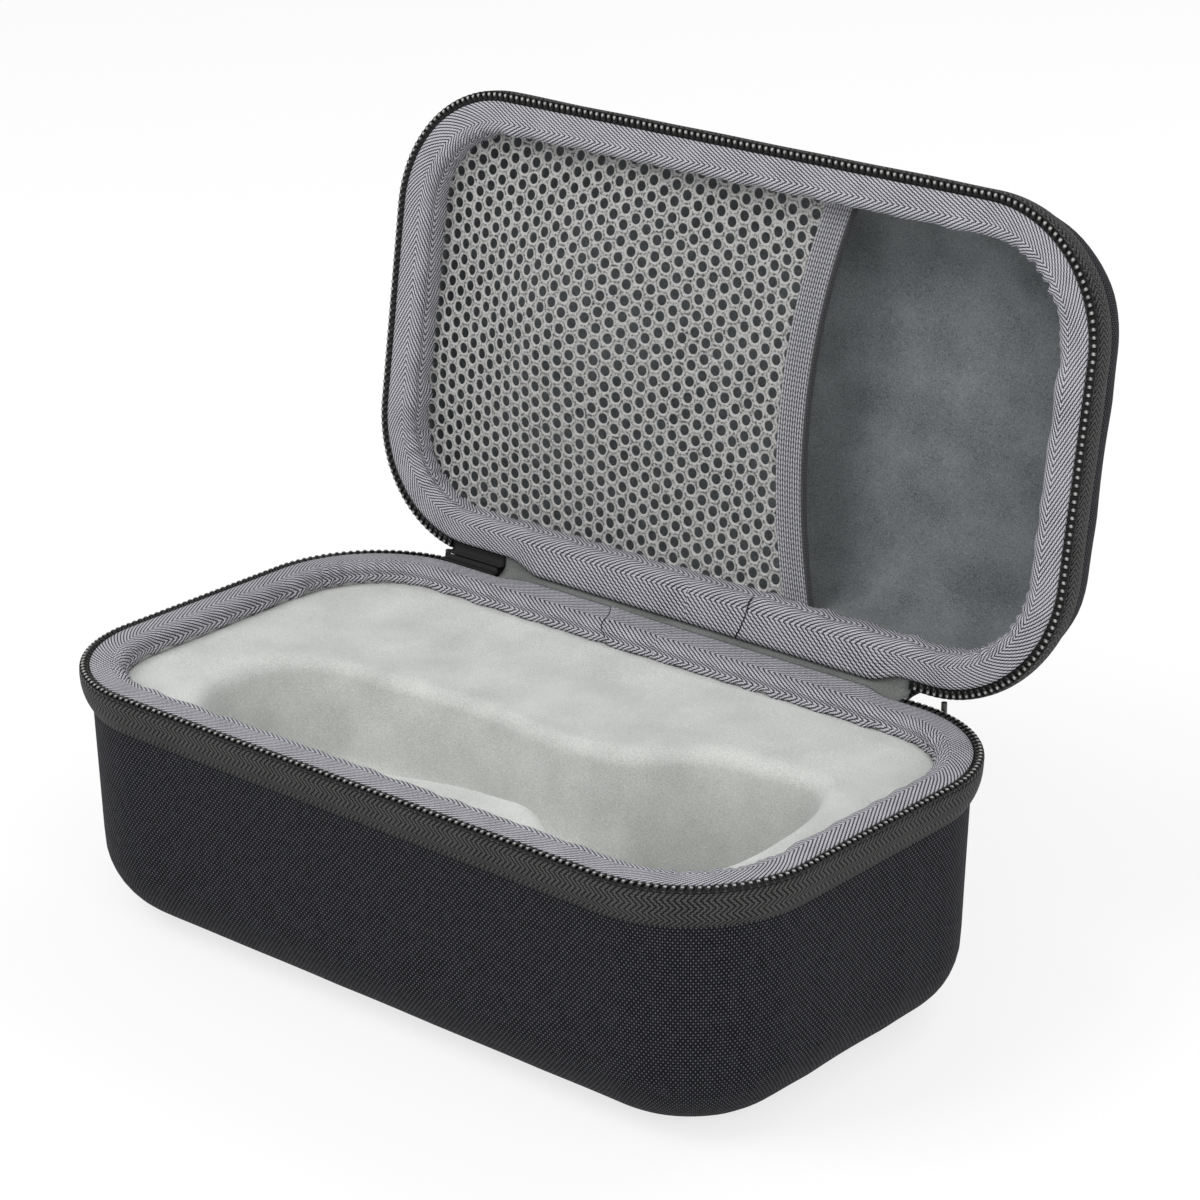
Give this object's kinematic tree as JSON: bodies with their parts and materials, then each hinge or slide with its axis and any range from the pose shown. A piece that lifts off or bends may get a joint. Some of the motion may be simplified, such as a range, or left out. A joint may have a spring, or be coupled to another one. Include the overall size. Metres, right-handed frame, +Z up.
{
  "type": "hard storage case",
  "caption": "Zip-up moulded hard case, standing open: a deep base with a fitted nest, and a hinged lid with a mesh pocket.",
  "frame": {"origin": "middle of the base's underside, on the surface that the case stands on", "axes": "+X along the case's length towards the nest's head end, +Y to the back where the lid hinges, +Z up"},
  "size_m": [0.2276, 0.1734, 0.1941],
  "materials": {
    "woven_cover": "fine plain woven polyester, matt",
    "foam_board": "moulded EVA foam board",
    "plush_dark": "short brushed plush, blue grey",
    "plush_light": "short brushed plush, light grey, over moulded EVA",
    "binding": "herringbone woven tape",
    "zip_tape": "woven zip tape, dark",
    "zip_nylon": "black nylon coil",
    "mesh": "knitted air mesh",
    "elastic": "ribbed knit elastic",
    "piping": "dark thread piping",
    "hinge_fabric": "woven strip",
    "hinge_liner": "short pile strip",
    "slider_metal": "dark plated zinc casting"
  },
  "bodies": {
    "base": {"base_cover": "woven_cover", "base_shell": "foam_board", "base_lining": "plush_light", "base_binding": "binding", "base_zip_tape": "zip_tape", "base_zip_teeth": "zip_nylon", "base_zip_end": "zip_tape", "nest_tray": "plush_light", "hinge_strip_base": "hinge_fabric", "hinge_liner_base": "hinge_liner"},
    "lid": {"lid_cover": "woven_cover", "lid_shell": "foam_board", "lid_lining": "plush_dark", "lid_binding": "binding", "lid_zip_tape": "zip_tape", "lid_zip_teeth": "zip_nylon", "lid_zip_end": "zip_tape", "hinge_strip_lid": "hinge_fabric", "hinge_liner_lid": "hinge_liner", "pocket_mesh": "mesh", "pocket_elastic": "elastic", "pocket_piping": "piping"},
    "slider_left": {"slider_left": "slider_metal"},
    "pull_left": {"pull_left": "slider_metal"},
    "slider_right": {"slider_right": "slider_metal"},
    "pull_right": {"pull_right": "slider_metal"}
  },
  "joints": [
    {"name": "lid_hinge", "type": "hinge", "parent": "base", "child": "lid", "pos_m": [0, 0.0644, 0.068], "axis": [-1, 0, 0], "range_deg": [-99, 31]},
    {"name": "slider_left_run", "type": "hinge", "parent": "base", "child": "slider_left", "pos_m": [-0.078, 0.0275, 0.068], "axis": [0, 0, 1], "range_deg": [0, 90]},
    {"name": "pull_left_swing", "type": "hinge", "parent": "slider_left", "child": "pull_left", "pos_m": [-0.078, 0.06606, 0.06153], "axis": [1, 0, 0], "range_deg": [-6, 45]},
    {"name": "slider_right_run", "type": "hinge", "parent": "base", "child": "slider_right", "pos_m": [0.078, 0.0275, 0.068], "axis": [0, 0, -1], "range_deg": [0, 90]},
    {"name": "pull_right_swing", "type": "hinge", "parent": "slider_right", "child": "pull_right", "pos_m": [0.078, 0.06606, 0.06153], "axis": [1, 0, 0], "range_deg": [-6, 45]}
  ]
}
